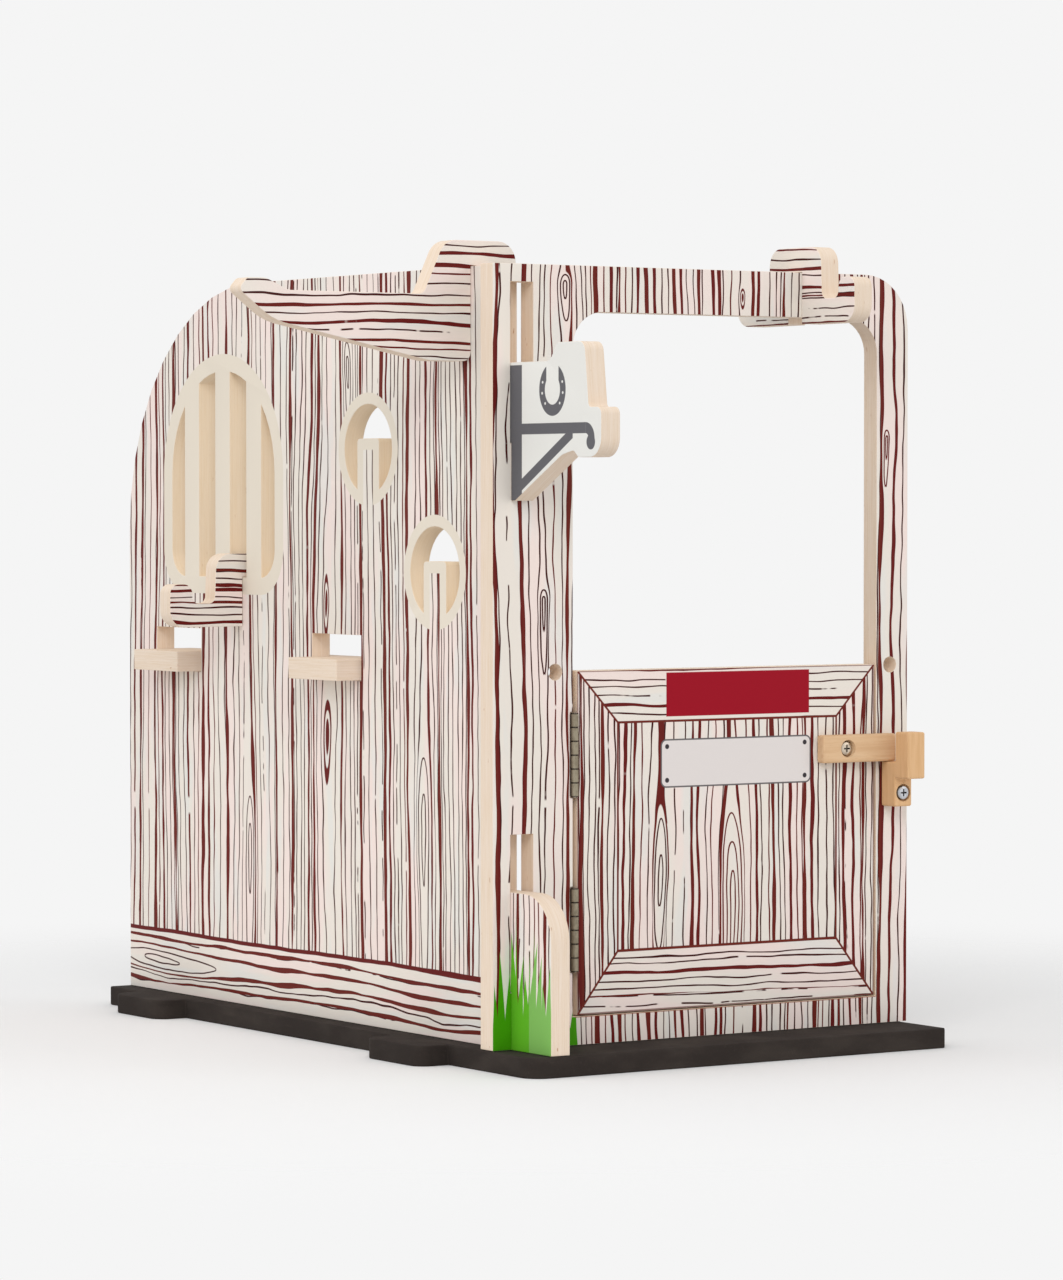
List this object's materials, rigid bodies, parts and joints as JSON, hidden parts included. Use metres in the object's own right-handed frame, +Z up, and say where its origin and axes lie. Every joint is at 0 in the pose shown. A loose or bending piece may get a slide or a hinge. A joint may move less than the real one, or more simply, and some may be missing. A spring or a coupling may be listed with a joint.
{
  "type": "toy horse stall",
  "caption": "Toy horse stall: slotted plywood front and side panels on a foam mat, hinged half-door with turning latch, lift-off rug rail and bridle hooks.",
  "frame": {"origin": "centre of the main sheet of the foam mat, on its underside, without the two side tabs", "axes": "+X to the right along the front panel as seen from outside, +Y from the front panel to the rear, +Z up"},
  "size_m": [0.5124, 0.638, 0.5566],
  "materials": {
    "foam": "matt closed-cell foam",
    "printed_front": "satin print on plywood, bare edges",
    "printed_side": "satin print on plywood, bare edges",
    "printed_door": "satin print on plywood, bare edges",
    "bare_ply": "sanded plywood",
    "beech": "oiled, smooth",
    "zinc_screw": "zinc plated",
    "printed_rail": "satin print on plywood, bare edges",
    "printed_hook": "satin print on plywood, bare edges",
    "hinge_steel": "dark aged finish",
    "pin_steel": "drawn wire",
    "small_screw_steel": "dark aged finish"
  },
  "bodies": {
    "stall": {"foam_mat": "foam", "front_panel": "printed_front", "side_wall": "printed_side", "wall_ledge": "bare_ply", "latch_keeper": "beech", "keeper_screw": "zinc_screw", "lower_hinge_post_leaf": "hinge_steel", "lower_hinge_pin": "pin_steel", "lower_hinge_post_screw_1": "small_screw_steel", "lower_hinge_post_screw_2": "small_screw_steel", "upper_hinge_post_leaf": "hinge_steel", "upper_hinge_pin": "pin_steel", "upper_hinge_post_screw_1": "small_screw_steel", "upper_hinge_post_screw_2": "small_screw_steel"},
    "door": {"half_door": "printed_door", "latch_screw": "zinc_screw", "lower_hinge_door_leaf": "hinge_steel", "lower_hinge_door_screw_1": "small_screw_steel", "lower_hinge_door_screw_2": "small_screw_steel", "upper_hinge_door_leaf": "hinge_steel", "upper_hinge_door_screw_1": "small_screw_steel", "upper_hinge_door_screw_2": "small_screw_steel"},
    "latch": {"latch_bar": "beech"},
    "rug_rail": {"rug_rail": "printed_rail"},
    "front_hook": {"front_bridle_hook": "printed_hook"},
    "window_hook": {"window_bridle_hook": "printed_hook"}
  },
  "joints": [
    {"name": "door_swing", "type": "hinge", "parent": "stall", "child": "door", "pos_m": [-0.10635, -0.2415, 0.15], "axis": [0, 0, -1], "range_deg": [0, 120]},
    {"name": "latch_turn", "type": "hinge", "parent": "door", "child": "latch", "pos_m": [0.11875, -0.2405, 0.2086], "axis": [0, -1, 0], "range_deg": [0, 90]},
    {"name": "rug_rail_lift", "type": "slide", "parent": "stall", "child": "rug_rail", "axis": [0, 0, 1], "range_m": [0, 0.07]},
    {"name": "front_hook_lift", "type": "slide", "parent": "stall", "child": "front_hook", "axis": [0, 0, 1], "range_m": [0, 0.045]},
    {"name": "window_hook_lift", "type": "slide", "parent": "stall", "child": "window_hook", "axis": [0, 0, 1], "range_m": [0, 0.04]}
  ]
}
